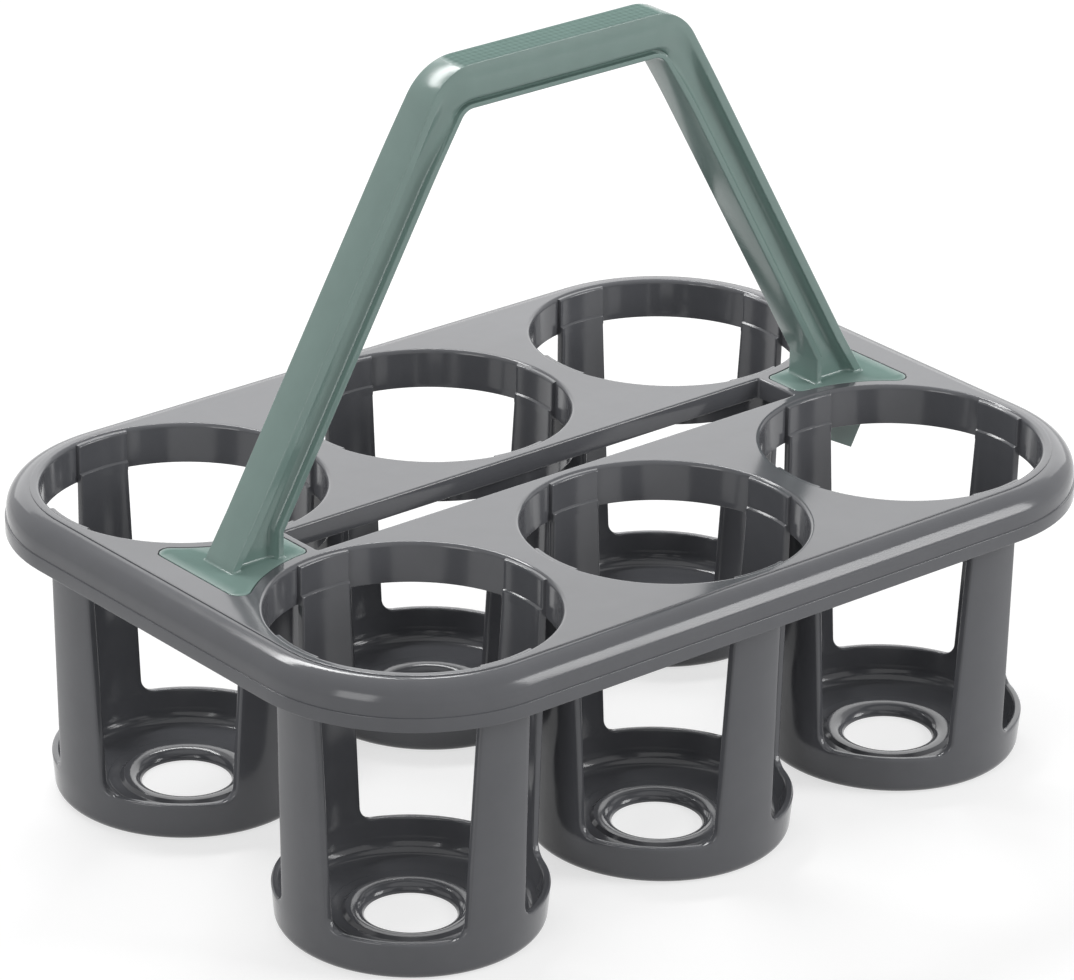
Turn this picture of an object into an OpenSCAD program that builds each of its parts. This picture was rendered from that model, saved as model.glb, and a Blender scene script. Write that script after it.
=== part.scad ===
// Carrier for six bottles: an open moulded basket with a rigid bow handle clipped into its deck.
// Millimetres, +Z up, X along the carrier. The origin is on the floor under the middle of the basket.

/* [Pockets] */
// Radius of each bottle pocket inside its collar
pocket_r = 48.5; // [44:0.5:52]
// Deck left between two pockets along the carrier
web_x = 10.5; // [7:0.5:14]
// Deck left between the two rows of pockets
web_y = 27; // [26:0.5:34]
// Deck left between a pocket and the outer edge
rim_w = 12; // [11:0.5:18]
// Height of the basket from the floor to the deck
basket_h = 113.5; // [80:0.5:150]

/* [Deck] */
// Wall of the deck and its skirt
deck_wall = 2.5; // [2:0.1:3]
// Height of the skirt round the deck
skirt_h = 16; // [14:0.5:22]
// Rounding of the shoulder between deck and skirt
shoulder_r = 6; // [4:0.5:7]
// Height of the thicker band along the foot of the skirt
band_h = 5; // [3:0.5:7]
// How far the band stands proud of the skirt
band_out = 0.5; // [0.3:0.1:0.8]
// Step down from the deck to its shoulder
deck_step = 0.3; // [0.2:0.1:0.5]
// Rounding of the pocket and slot edges
lip_r = 1.5; // [0.8:0.1:1.8]
// Wall of the collars under the pockets
collar_wall = 2.2; // [1.6:0.1:2.4]
// Depth of the collars below the deck
collar_h = 14.5; // [13.5:0.5:18]

/* [Slot] */
// Deck left between the long slot and the pockets beside it
slot_edge = 4.3; // [3.5:0.1:6.5]
// Distance from each end of the slot to the centre line of the end pockets
slot_end = 2; // [1:0.5:6]
// Wall hanging round the slot
slot_wall = 2; // [1.5:0.1:2.2]
// Depth of the slot's wall below the deck
slot_h = 7.5; // [6:0.5:14]

/* [Cups] */
// Height of the closed cup at the foot of each pocket
cup_h = 14; // [10:0.5:20]
// How far a cup's rim stands in from its pocket's radius
cup_set = 2.3; // [1.5:0.1:3]
// Wall of a cup at its rim
cup_wall = 2.6; // [2.2:0.1:4]
// Rounding of the outer edge at the floor
cup_edge_r = 4; // [2:0.5:6]
// Rounding between the cup's wall and its bottom
cup_fillet = 5; // [3:0.5:7]
// Rounding of the cup's rim
cup_rim_r = 0.8; // [0.4:0.1:1.1]
// Thickness of the cup's bottom
floor_t = 2.2; // [1.8:0.1:3]
// Radius of the drain hole
drain_r = 15.5; // [8:0.5:16.5]
// Height of the ring that stands round the drain hole
drain_ring_h = 0.7; // [0.4:0.1:1]
// Width of that ring, from the hole to its outer edge
drain_ring_w = 4; // [3.6:0.1:6]
// Width of the raised middle of the bottom outside that ring
step_w = 4; // [3:0.5:8]
// Height of the raised middle
step_h = 0.5; // [0.3:0.1:0.9]

/* [Posts] */
// Width of a post under the collar
post_top_w = 19.8; // [16:0.2:22]
// Width of a post where it meets the cup
post_foot_w = 24; // [22:0.2:26]
// How far a post's outer face stands out past the pocket's radius under the collar
post_out = 0.9; // [0.7:0.1:2.1]
// How far a post's inner face stands into the pocket at the top
post_in = 2.2; // [1.6:0.1:2.6]
// How far the head of a post stands into the pocket
head_in = 1.3; // [0.8:0.1:1.5]
// Rounding of the corner between a post and the cup's rim
window_r = 5; // [2:0.5:8]
// Depth of a head's top below the deck
head_drop = 0.5; // [0.2:0.1:1]
// Depth of the ledge between head and post below the deck
ledge_z = 11; // [8:0.5:12.5]
// Rounding of the top of a head
head_r = 0.8; // [0.4:0.1:1]

/* [Handle] */
// Height of the grip's top above the deck
handle_h = 154.5; // [120:0.5:175]
// Lean of the legs from the vertical, in degrees
leg_lean = 29.8; // [26:0.1:33]
// Width of the handle across the carrier
handle_w = 14.8; // [13:0.2:15.4]
// Depth of the handle from its outer to its inner face
handle_d = 14; // [12:0.2:15]
// Outer radius of the bends between legs and grip
bend_r = 20.5; // [18:0.5:26]
// Thickness of the outer flange of a leg
flange_out = 3.4; // [2:0.1:4.4]
// Thickness of the inner flange of a leg
flange_in = 2.4; // [1.8:0.1:4]
// Thickness of the web between a leg's flanges
web_t = 8; // [6:0.1:9.6]
// Rounding of the handle's long edges
edge_r = 0.5; // [0.3:0.1:0.8]
// Depth of the grip from its top to its underside
grip_d = 15.5; // [14:0.1:17]
// How far the flat along the grip's top is drawn in at each side
grip_top_in = 1.2; // [0.8:0.1:1.9]
// How far the groove along the grip's lower edge is drawn in at each side
grip_groove_in = 2.8; // [2:0.1:4.4]
// Height of the flat inner wall of that groove
grip_groove_h = 1; // [0.6:0.1:1.4]
// Thickness of the lip under the groove
grip_lip_t = 1.6; // [1.2:0.1:2.2]
// How far the lip stands in from the grip's sides
grip_lip_in = 0.6; // [0.3:0.1:1.2]
// Depth down the grip at which its sides are widest
grip_face_d = 9; // [7:0.5:10]
// Length of each leg below its bend over which its section fills out into the grip's
blend_l = 26; // [15:1:50]

/* [Feet] */
// Length of a foot plate along the carrier
foot_l = 40.5; // [38:0.5:44]
// Distance from the end pockets' centre line to the inner end of a foot plate
foot_start = 1; // [0.5:0.1:1.6]
// Deck left between a foot plate and the pockets beside it
foot_edge = 5; // [4:0.1:5.4]
// Thickness of a foot plate
foot_t = 2; // [1.4:0.1:2.4]
// Rounding of the outer corners of a foot plate
foot_r = 4; // [3:0.5:5]
// Rounding of the inner corners of a foot plate
foot_tip_r = 3; // [2:0.5:3.5]
// Distance from a leg's outer face at the deck to the outer end of its foot plate
leg_set = 9.8; // [9:0.1:14]
// Running gap round a foot plate and round the hooks
fit_gap = 0.3; // [0.2:0.05:0.4]
// Width of a leg along the carrier where it meets its foot plate
heel_l = 21.3; // [19:0.1:23]

/* [Hooks] */
// Wall of the snap hooks and of the sockets they pass through
hook_wall = 2.2; // [1.8:0.1:2.4]
// How far a hook's barb reaches past the hook
barb_out = 4.2; // [3:0.1:5]
// Height of the sloping barb
barb_h = 14; // [10:0.5:18]
// How far the barb slopes in from its corner to its tip
barb_in = 7.6; // [6:0.1:9]
// Height that the slanted end of a hook climbs towards the middle
hook_rise = 9.5; // [6:0.5:11]

/* [Hidden] */
overrun = 1;
basket_colour = "#5a5b5f";
handle_colour = "#728a80";

pitch_x = 2 * pocket_r + web_x;
row_y = pocket_r + web_y / 2;
edge_out = pocket_r + rim_w;
deck_z = basket_h;

// Depth of a cut down through all that hangs under the deck
cut_h = max(skirt_h, collar_h) + overrun;

// Steps of an arc in a profile, and of a full turn
arc_n = 6;
turn_n = 96;
// Steps of the handle's skin: round an edge, round a web, up a heel, below a bend and round a bend
edge_n = 2;
blend_n = 4;
heel_n = 3;
blend_rings = 5;
bend_n = 8;

slot_w = web_y - 2 * slot_edge;
slot_half = pitch_x - slot_end;
foot_x0 = pitch_x + foot_start;
foot_x1 = foot_x0 + foot_l;
leg_x = foot_x1 - leg_set;
leg_blend_r = min((handle_d - flange_out - flange_in) / 2, (handle_w - web_t) / 2 - edge_r);

post_count = 4;
post_step = 360 / post_count;
post_in_r = pocket_r - post_in;
post_out_r = pocket_r + post_out;
head_in_r = pocket_r - head_in;
post_top_z = deck_z - collar_h;
ledge_h = post_in - head_in;
head_half_angle = asin(post_top_w / 2 / post_in_r);
cup_r = pocket_r - cup_set;
cup_in_r = cup_r - cup_wall;
drain_lip_h = floor_t / 2 + step_h + drain_ring_h;
drain_ring_r = drain_r + drain_ring_w;
step_r = drain_ring_r + step_w;

hook_x1 = leg_x;
hook_x0 = leg_x - heel_l;
hook_half_w = handle_w / 2;
socket_gap = 2 * fit_gap;
socket_x0 = hook_x0 - socket_gap;
socket_x1 = hook_x1 + socket_gap;
socket_half_w = hook_half_w + fit_gap;
barb_top = collar_h + fit_gap;

// Points of an arc about c from angle a0 to a1
function arc(c, r, a0, a1, n = arc_n) =
    [for (i = [0:n]) let (a = a0 + (a1 - a0) * i / n) c + r * [cos(a), sin(a)]];

// Angle of the line from point a to point b
function heading(a, b) = atan2(b[1] - a[1], b[0] - a[0]);

// Calls its child once at the centre of each pocket
module each_pocket() {
    for (ix = [-1:1], iy = [-1, 1])
        translate([ix * pitch_x, iy * row_y, 0])
            children();
}

// Calls its child for the right end of the carrier and turned round for the left end
module each_end() {
    for (side = [0, 1])
        rotate(180 * side)
            children();
}

// Section of the deck from a corner's centre out over the shoulder and down the skirt
function rim_section() =
    let (
        top_x = edge_out - band_out - shoulder_r,
        wall_x = edge_out - band_out,
        low_z = deck_step + shoulder_r,
        in_r = shoulder_r - deck_wall + deck_step
    )
    concat(
        [[0, 0], [top_x, 0]],
        arc([top_x, -low_z], shoulder_r, 90, 0),
        [
            [wall_x, -(skirt_h - band_h)],
            [edge_out, -(skirt_h - band_h)],
            [edge_out, -skirt_h],
            [wall_x - deck_wall, -skirt_h]
        ],
        arc([wall_x - deck_wall - in_r, -deck_wall - in_r], in_r, 0, 90),
        [[0, -deck_wall]]
    );

// One straight stretch of rim, drawn along X on the +Y side
module rim_side(length) {
    rotate([90, 0, 90])
        translate([0, 0, -length / 2])
            linear_extrude(length)
                polygon(rim_section());
}

// The deck's top, shoulder and skirt without openings
module deck_shell() {
    translate([-pitch_x, -row_y, -deck_wall])
        cube([2 * pitch_x, 2 * row_y, deck_wall]);
    for (side = [0, 1])
        rotate(180 * side) {
            translate([0, row_y, 0])
                rim_side(2 * pitch_x);
            rotate(90)
                translate([0, pitch_x, 0])
                    rim_side(2 * row_y);
        }
    for (ix = [0, 1], iy = [0, 1])
        mirror([ix, 0, 0])
            mirror([0, iy, 0])
                translate([pitch_x, row_y, 0])
                    rotate_extrude(angle = 90, $fn = turn_n)
                        polygon(rim_section());
}

// What each pocket takes out of the deck, with its rounded lip. It starts between two posts.
module pocket_cut() {
    rotate(post_step / 2)
        rotate_extrude($fn = turn_n)
            polygon(concat(
                [[0, -cut_h], [pocket_r, -cut_h]],
                arc([pocket_r + lip_r, -lip_r], lip_r, 180, 90),
                [[pocket_r + lip_r, overrun], [0, overrun]]
            ));
}

// Wall that hangs round a pocket, with the four heads of its posts
module collar() {
    rotate(post_step / 2)
        rotate_extrude($fn = turn_n)
            translate([pocket_r, -collar_h])
                square([collar_wall, collar_h - lip_r]);
    for (k = [0:post_count - 1])
        rotate(post_step * k - head_half_angle)
            rotate_extrude(angle = 2 * head_half_angle, $fn = turn_n)
                polygon(concat(
                    [[post_out_r, -head_drop]],
                    arc([head_in_r + head_r, -head_drop - head_r], head_r, 90, 180),
                    [
                        [head_in_r, -ledge_z],
                        [post_in_r, -ledge_z - ledge_h / 2],
                        [post_in_r, -collar_h],
                        [post_out_r, -collar_h]
                    ]
                ));
}

// Outline of a foot plate at the right end, grown by g on every side
function foot_outline(g) =
    let (
        ring_c = [pitch_x, row_y],
        ring_r = pocket_r + foot_edge - g,
        tip_r = foot_tip_r + g,
        far_r = foot_r + g,
        tip_x = foot_x0 - g + tip_r,
        far_x = foot_x1 + g - far_r,
        tip_c = [tip_x, row_y - sqrt(pow(ring_r + tip_r, 2) - pow(tip_x - pitch_x, 2))],
        far_c = [far_x, row_y - sqrt(pow(ring_r + far_r, 2) - pow(far_x - pitch_x, 2))],
        half = concat(
            arc(tip_c, tip_r, 180, heading(tip_c, ring_c)),
            arc(ring_c, ring_r, heading(ring_c, tip_c), heading(ring_c, far_c), 2 * arc_n),
            arc(far_c, far_r, heading(far_c, ring_c), 0)
        )
    )
    concat(half, [for (i = [len(half) - 1:-1:0]) [half[i][0], -half[i][1]]]);

// Slot between the rows, with rounded long edges
module slot_cut() {
    half_w = slot_w / 2;
    rotate([90, 0, 90])
        translate([0, 0, -slot_half])
            linear_extrude(2 * slot_half)
                polygon(concat(
                    [[-half_w, -cut_h], [half_w, -cut_h]],
                    arc([half_w + lip_r, -lip_r], lip_r, 180, 90),
                    [[half_w + lip_r, overrun], [-half_w - lip_r, overrun]],
                    arc([-half_w - lip_r, -lip_r], lip_r, 90, 0)
                ));
}

// Wall that hangs round the slot
module slot_walls() {
    difference() {
        translate([-slot_half - slot_wall, -slot_w / 2 - slot_wall, -slot_h])
            cube([2 * (slot_half + slot_wall), slot_w + 2 * slot_wall, slot_h - lip_r]);
        translate([-slot_half, -slot_w / 2, -slot_h - overrun])
            cube([2 * slot_half, slot_w, slot_h + 2 * overrun]);
        each_pocket()
            pocket_cut();
    }
}

// Floor under a foot plate and the walls of the socket for its hook
module foot_seat() {
    translate([0, 0, -foot_t - deck_wall])
        linear_extrude(foot_t + deck_wall / 2)
            polygon(foot_outline(fit_gap + slot_wall / 2));
    translate([socket_x0 - hook_wall, -socket_half_w - hook_wall, -collar_h])
        cube([
            socket_x1 - socket_x0 + 2 * hook_wall,
            2 * (socket_half_w + hook_wall),
            collar_h - deck_wall
        ]);
}

// Recess for a foot plate and the hole for its hook
module foot_seat_cut() {
    translate([0, 0, -foot_t])
        linear_extrude(foot_t + overrun)
            polygon(foot_outline(fit_gap));
    translate([socket_x0, -socket_half_w, -cut_h])
        cube([socket_x1 - socket_x0, 2 * socket_half_w, cut_h + overrun]);
}

module deck() {
    color(basket_colour)
        translate([0, 0, deck_z])
            difference() {
                union() {
                    difference() {
                        union() {
                            deck_shell();
                            each_end()
                                foot_seat();
                        }
                        each_pocket()
                            pocket_cut();
                        slot_cut();
                    }
                    each_pocket()
                        collar();
                    slot_walls();
                }
                each_end()
                    foot_seat_cut();
            }
}

// Section of a cup's closed foot, drawn from the drain hole outwards
function cup_section() =
    let (
        mid_z = floor_t + step_h,
        in_low_r = cup_in_r - (cup_r - cup_in_r) / 2
    )
    concat(
        [[drain_r, 0], [drain_r, floor_t / 2]],
        arc([drain_r + drain_lip_h, floor_t / 2], drain_lip_h, 180, 90),
        [
            [drain_ring_r - drain_ring_h, mid_z + drain_ring_h],
            [drain_ring_r, mid_z],
            [step_r - step_h, mid_z],
            [step_r, floor_t]
        ],
        arc([in_low_r - cup_fillet, floor_t + cup_fillet], cup_fillet, 270, 360),
        [[cup_in_r, cup_h - cup_rim_r]],
        arc([cup_in_r + cup_rim_r, cup_h - cup_rim_r], cup_rim_r, 180, 90),
        arc([cup_r - cup_rim_r, cup_h - cup_rim_r], cup_rim_r, 90, 0),
        arc([cup_r - cup_rim_r - cup_edge_r, cup_edge_r], cup_edge_r, 0, -90)
    );

// Section of the wall that the posts are cut from
function post_section() =
    [
        [cup_in_r, cup_h - cup_rim_r],
        [cup_r, cup_h - cup_rim_r],
        [post_out_r, post_top_z],
        [post_in_r, post_top_z]
    ];

// Outline of a post as seen from outside, with the rounded corners at its foot
function post_outline() =
    let (
        flare_x = post_foot_w / 2 + window_r,
        right = concat(
            [[post_top_w / 2, post_top_z + overrun]],
            arc([flare_x, cup_h + window_r], window_r, 180, 270),
            [[flare_x, cup_h - cup_rim_r - overrun]]
        )
    )
    concat(right, [for (i = [len(right) - 1:-1:0]) [-right[i][0], right[i][1]]]);

// One pocket's cup with its four posts
module cup(ix, iy) {
    color(basket_colour)
        translate([ix * pitch_x, iy * row_y, 0]) {
            rotate_extrude($fn = turn_n)
                polygon(cup_section());
            intersection() {
                rotate_extrude($fn = turn_n)
                    polygon(post_section());
                for (k = [0:post_count - 1])
                    rotate(post_step * k)
                        rotate([90, 0, 90])
                            linear_extrude(edge_out)
                                polygon(post_outline());
            }
        }
}

// Half sections of the handle, as [distance from the outer face, distance from the middle plane].
// Both have the same number of points, so that one can be blended into the other.
function leg_half_section() =
    let (
        hw = handle_w / 2,
        c_out = [flange_out + leg_blend_r, web_t / 2 + leg_blend_r],
        c_in = [handle_d - flange_in - leg_blend_r, web_t / 2 + leg_blend_r]
    )
    concat(
        arc([edge_r, hw - edge_r], edge_r, 180, 90, edge_n),
        [[flange_out - edge_r / 2, hw], [flange_out, hw - edge_r / 2]],
        arc(c_out, leg_blend_r, 180, 270, blend_n),
        arc(c_in, leg_blend_r, 270, 360, blend_n),
        [[handle_d - flange_in, hw - edge_r / 2], [handle_d - flange_in + edge_r / 2, hw]],
        arc([handle_d - edge_r, hw - edge_r], edge_r, 90, 0, edge_n)
    );

function grip_half_section() =
    let (
        hw = handle_w / 2,
        top_y = hw - grip_top_in,
        groove_y = hw - grip_groove_in,
        lip_y = hw - grip_lip_in,
        lip_d = handle_d - grip_lip_t,
        groove_d = lip_d - grip_groove_h,
        upper_n = blend_n + 3,
        lower_n = blend_n + 1
    )
    concat(
        arc([edge_r / 2, top_y - edge_r / 2], edge_r / 2, 180, 90, edge_n),
        [for (i = [1:upper_n])
            let (t = i / upper_n)
            [edge_r / 2 + (grip_face_d - edge_r / 2) * t, top_y + (hw - top_y) * sin(90 * t)]],
        [for (i = [1:lower_n])
            let (a = 90 * i / lower_n)
            [
                grip_face_d + (groove_d - grip_face_d) * sin(a),
                groove_y + (hw - groove_y) * cos(a)
            ]],
        [[lip_d, groove_y], [lip_d, lip_y - edge_r / 2]],
        arc([handle_d - edge_r, lip_y - edge_r], edge_r, 90, 0, edge_n)
    );

// Depth of the handle and its closed section for a blend m from 0, the legs, to 1, the grip
function depth_at(m) = handle_d + (grip_d - handle_d) * m;

function section(m) =
    let (
        leg = leg_half_section(),
        grip = grip_half_section(),
        half = [for (i = [0:len(leg) - 1]) leg[i] * (1 - m) + grip[i] * m]
    )
    concat(half, [for (i = [len(half) - 1:-1:0]) [half[i][0], -half[i][1]]]);

// One ring of the handle's skin. The outer and inner points are [x, z] in the handle's middle plane.
// Points of the outer half keep their distance from the outer face, the others from the inner face.
function skin_ring(outer, inner, m) =
    let (
        depth = norm(inner - outer),
        u = (inner - outer) / depth,
        s = section(m),
        n = len(s)
    )
    [for (i = [0:n - 1])
        let (
            near_outer = i < n / 4 || i >= 3 * n / 4,
            d = near_outer ? s[i][0] : depth - handle_d + s[i][0],
            p = outer + u * d
        )
        [p[0], s[i][1], p[1]]];

// Point on the outer face of the right leg, a distance t up from the deck
function leg_point(t) = [leg_x - sin(leg_lean) * t, cos(leg_lean) * t];
leg_inward = [-cos(leg_lean), -sin(leg_lean)];
function smooth(t) = t * t * (3 - 2 * t);

// Rings of the right half of the handle, from inside its foot plate up to the grip
function half_skin() =
    let (
        heel_x = leg_x - heel_l,
        heel_z = (heel_l - handle_d / cos(leg_lean)) / tan(leg_lean),
        t_heel = (heel_z + handle_d * sin(leg_lean)) / cos(leg_lean),
        t_bend = (handle_h - bend_r + bend_r * sin(leg_lean)) / cos(leg_lean),
        t_blend = t_bend - blend_l,
        bend_c = leg_point(t_bend) + bend_r * leg_inward,
        heel_top = leg_point(t_heel),
        heel_in = [heel_x, heel_z],
        bend_share = bend_r * (90 - leg_lean) * PI / 180 / (bend_r * (90 - leg_lean) * PI / 180 + blend_l)
    )
    concat(
        [skin_ring([leg_x, -foot_t / 2], [heel_x, -foot_t / 2], 0)],
        [for (i = [0:heel_n])
            let (t = i / heel_n)
            skin_ring([leg_x, 0] * (1 - t) + heel_top * t, [heel_x, 0] * (1 - t) + heel_in * t, 0)],
        [for (i = [0:blend_rings - 1])
            let (
                t = t_blend + blend_l * i / blend_rings,
                o = leg_point(t),
                m = smooth((1 - bend_share) * i / blend_rings)
            )
            skin_ring(o, o + depth_at(m) * leg_inward, m)],
        [for (i = [0:bend_n])
            let (
                a = leg_lean + (90 - leg_lean) * i / bend_n,
                out = [cos(a), sin(a)],
                m = smooth(1 - bend_share + bend_share * i / bend_n)
            )
            skin_ring(bend_c + bend_r * out, bend_c + (bend_r - depth_at(m)) * out, m)]
    );

// The same rings seen in a mirror, in the other order, so that the skin runs on over the grip
function mirrored(rings) =
    [for (i = [len(rings) - 1:-1:0]) [for (p = rings[i]) [-p[0], p[1], p[2]]]];

// Legs and grip as one skin
module bow() {
    half = half_skin();
    rings = concat(half, mirrored(half));
    n = len(rings[0]);
    last = len(rings) - 1;
    points = [for (ring = rings) for (p = ring) p];
    sides = [
        for (i = [0:last - 1], j = [0:n - 1])
            let (
                a = i * n + j,
                b = i * n + (j + 1) % n,
                c = a + n,
                d = b + n
            )
            for (face = [[a, c, b], [b, c, d]]) face
    ];
    ends = [
        [for (j = [0:n - 1]) j],
        [for (j = [n - 1:-1:0]) last * n + j]
    ];
    polyhedron(points = points, faces = concat(sides, ends));
}

// Plate at the foot of a leg, let into the deck
module foot_plate() {
    translate([0, 0, -foot_t])
        linear_extrude(foot_t)
            polygon(foot_outline(0));
}

// Snap hook under a foot plate: two cheeks and an outer wall that ends in a sloping barb
module hook() {
    tip = [hook_x1 + barb_out - barb_in, -barb_top - barb_h];
    rotate([90, 0, 0])
        difference() {
            translate([0, 0, -hook_half_w])
                linear_extrude(2 * hook_half_w)
                    polygon([
                        [hook_x0, -foot_t / 2],
                        [hook_x1, -foot_t / 2],
                        [hook_x1, -barb_top],
                        [hook_x1 + barb_out, -barb_top],
                        tip,
                        [hook_x0, tip[1] + hook_rise]
                    ]);
            translate([0, 0, -hook_half_w + hook_wall])
                linear_extrude(2 * (hook_half_w - hook_wall))
                    polygon([
                        [hook_x0 - overrun, -foot_t],
                        [hook_x1 - hook_wall, -foot_t],
                        [hook_x1 - hook_wall, -barb_top],
                        [tip[0] - hook_wall, tip[1] - overrun],
                        [hook_x0 - overrun, tip[1] - overrun]
                    ]);
        }
}

module handle() {
    color(handle_colour)
        translate([0, 0, deck_z]) {
            bow();
            each_end() {
                foot_plate();
                hook();
            }
        }
}

deck();
cup(-1, -1);  // cup_front_left
cup(0, -1);  // cup_front_middle
cup(1, -1);  // cup_front_right
cup(-1, 1);  // cup_back_left
cup(0, 1);  // cup_back_middle
cup(1, 1);  // cup_back_right
handle();
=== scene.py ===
"""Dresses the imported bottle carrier: a moulded deck, six open cups, a rigid bow handle and a plain studio.

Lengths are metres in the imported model's own frame: the floor is z = 0, X runs along the carrier and the
front row of pockets is at -Y.
"""

from math import cos, sin

import bmesh
import bpy
import numpy as np
from bpy.props import FloatProperty, FloatVectorProperty, PointerProperty
from mathutils import Matrix, Vector
from mathutils.geometry import delaunay_2d_cdt


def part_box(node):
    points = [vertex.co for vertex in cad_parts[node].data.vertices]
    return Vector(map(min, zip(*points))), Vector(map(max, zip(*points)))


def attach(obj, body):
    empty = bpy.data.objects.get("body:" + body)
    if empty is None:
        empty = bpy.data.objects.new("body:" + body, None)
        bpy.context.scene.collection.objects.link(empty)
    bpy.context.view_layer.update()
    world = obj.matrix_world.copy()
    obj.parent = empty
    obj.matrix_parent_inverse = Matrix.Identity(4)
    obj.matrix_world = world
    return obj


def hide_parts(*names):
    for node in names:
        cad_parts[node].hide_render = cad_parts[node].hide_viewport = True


bl_info = {
    "name": "Bottle Carrier",
    "version": (1, 0, 0),
    "blender": (4, 5, 0),
    "location": "View3D > Sidebar > Carrier",
    "description": "Builds a moulded carrier for six bottles with a rigid bow handle",
    "category": "Add Mesh",
}

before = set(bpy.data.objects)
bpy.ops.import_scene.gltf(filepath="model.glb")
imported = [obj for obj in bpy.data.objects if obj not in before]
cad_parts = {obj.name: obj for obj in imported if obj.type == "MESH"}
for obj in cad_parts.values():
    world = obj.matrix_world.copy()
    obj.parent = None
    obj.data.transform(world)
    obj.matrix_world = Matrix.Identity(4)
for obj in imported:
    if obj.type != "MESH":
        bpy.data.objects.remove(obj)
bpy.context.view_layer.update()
MM = 0.001
BODY = "root"
ROWS = {"front": -1, "back": 1}
COLUMNS = {"left": -1, "middle": 0, "right": 1}

# Steps of the finest roundings, of a small rounding, and of a quarter of a large arc
FINE_STEPS = 3
ROUNDING_STEPS = 5
QUARTER_STEPS = 24

# Points closer than this are joined, in metres and in the plane of a flat sheet
JOIN_DISTANCE = 1e-6
SHEET_DISTANCE = 1e-5

# An edge that turns by more than this is drawn sharp
SHARP_ANGLE = np.radians(32)

# Size, detail and roughness of the plastic's mottling, ripple and grain
MOTTLE = (9 * MM, 3.0, 0.5)
RIPPLE = (25 * MM, 2.0, 0.4)
GRAIN = (0.6 * MM, 1.0, 0.5)

# Shares of the colour that the mottling runs between, the ripple's change of roughness, and both heights
MOTTLE_SHARES = (0.93, 1.07)
RIPPLE_GLOSS = 0.03
RIPPLE_HEIGHT = 0.2 * MM
GRAIN_HEIGHT = 0.02 * MM

# How upright its normal is where a handle face begins to count as facing up, and where it counts fully,
# and the roughness that it then gains
FACING_UP = (0.96, 0.99)
MATT_ROUGHNESS = 0.5

# Spacing and height of the ribs along the grip's top
RIB_PITCH = 2.5 * MM
RIB_HEIGHT = 0.25 * MM

# Strength of the room's light, and how much the paper floor glows where the camera or a gloss sees it
ROOM_LIGHT = 0.4
FLOOR_GLOW = 0.66

# Half the floor's side, and its gap below the cups, which keeps the two surfaces apart in the render
FLOOR_HALF = 6
FLOOR_GAP = 0.1 * MM

# Each lamp's place, its width and height, and its power in watts, and the point that all lamps face
LAMPS = {
    "key_strip": ((0.06, 0.64, 0.94), (1.0, 0.14), 6.5),
    "back_softbox": ((2.3, 2.8, 1.6), (5.6, 2.0), 46),
    "right_softbox": ((1.34, -1.55, 0.9), (0.8, 1.2), 22),
    "left_softbox": ((-1.9, -0.6, 0.8), (0.8, 1.0), 9),
}
LAMP_AIM = Vector((0, 0, 0.12))

# The camera's film width in millimetres, and how far it sees
FILM_WIDTH = 36
SIGHT = 20


def linear(hex_colour):
    """A colour written as sRGB hex, as the linear values that Blender's sockets take."""
    parts = np.array([int(hex_colour[i : i + 2], 16) for i in (1, 3, 5)]) / 255
    return tuple(np.where(parts <= 0.04045, parts / 12.92, ((parts + 0.055) / 1.055) ** 2.4))


def length(name, description, millimetres):
    """A length property, in metres, with its default given in millimetres."""
    return FloatProperty(
        name=name, description=description, default=millimetres * MM, unit="LENGTH", precision=5
    )


def colour(name, description, hex_colour):
    """A colour property with its default given as sRGB hex."""
    return FloatVectorProperty(
        name=name, description=description, default=linear(hex_colour), size=3, subtype="COLOR", min=0, max=1
    )


def degrees(name, description, value):
    """An angle property, with its default given in degrees."""
    return FloatProperty(name=name, description=description, default=np.radians(value), subtype="ANGLE")


def number(name, description, value):
    """A plain number property."""
    return FloatProperty(name=name, description=description, default=value)


class DeckSizes(bpy.types.PropertyGroup):
    """Sizes of the deck with its pockets, skirt and slot."""

    pocket_r: length("Pocket radius", "Radius of a pocket inside its collar", 48.5)
    web_x: length("Web along", "Deck left between two pockets along the carrier", 10.5)
    web_y: length("Web across", "Deck left between the two rows of pockets", 27)
    rim_w: length("Rim", "Deck left between a pocket and the outer edge", 12)
    wall: length("Wall", "Wall of the deck and its skirt", 2.5)
    skirt_h: length("Skirt", "Height of the skirt", 16)
    shoulder_r: length("Shoulder", "Rounding between deck and skirt", 8)
    band_h: length("Band height", "Height of the thicker band along the skirt's foot", 5)
    band_out: length("Band step", "How far the band stands proud of the skirt", 0.5)
    deck_step: length("Deck step", "Step down from the deck to its shoulder", 0.3)
    lip_r: length("Lip", "Rounding of a pocket's edge", 1.5)
    collar_wall: length("Collar wall", "Wall of the collars under the pockets", 2.2)
    collar_h: length("Collar depth", "Depth of the collars below the deck", 14.5)
    head_w: length("Head width", "Width of a post's head", 19.8)
    head_in: length("Head depth", "How far a head stands into its pocket", 1.3)
    post_in: length("Post depth", "How far a post stands into its pocket below the ledge", 2.2)
    head_drop: length("Head drop", "Depth of a head's top below the deck", 0.5)
    head_r: length("Head rounding", "Rounding of a head's top", 0.8)
    ledge_z: length("Ledge", "Depth of the ledge between head and post", 11)
    slot_w: length("Slot width", "Width of the long slot", 18.4)
    slot_end: length("Slot end", "From the slot's end to the centre line of the end pockets", 2)
    slot_wall: length("Slot wall", "Wall that hangs round the slot", 2)
    slot_h: length("Slot depth", "Depth of that wall below the deck", 7.5)
    slot_r: length("Slot edge", "Rounding of the slot's edge", 0.8)
    edge_r: length("Edge rounding", "Rounding of the small outer edges", 0.4)


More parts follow.
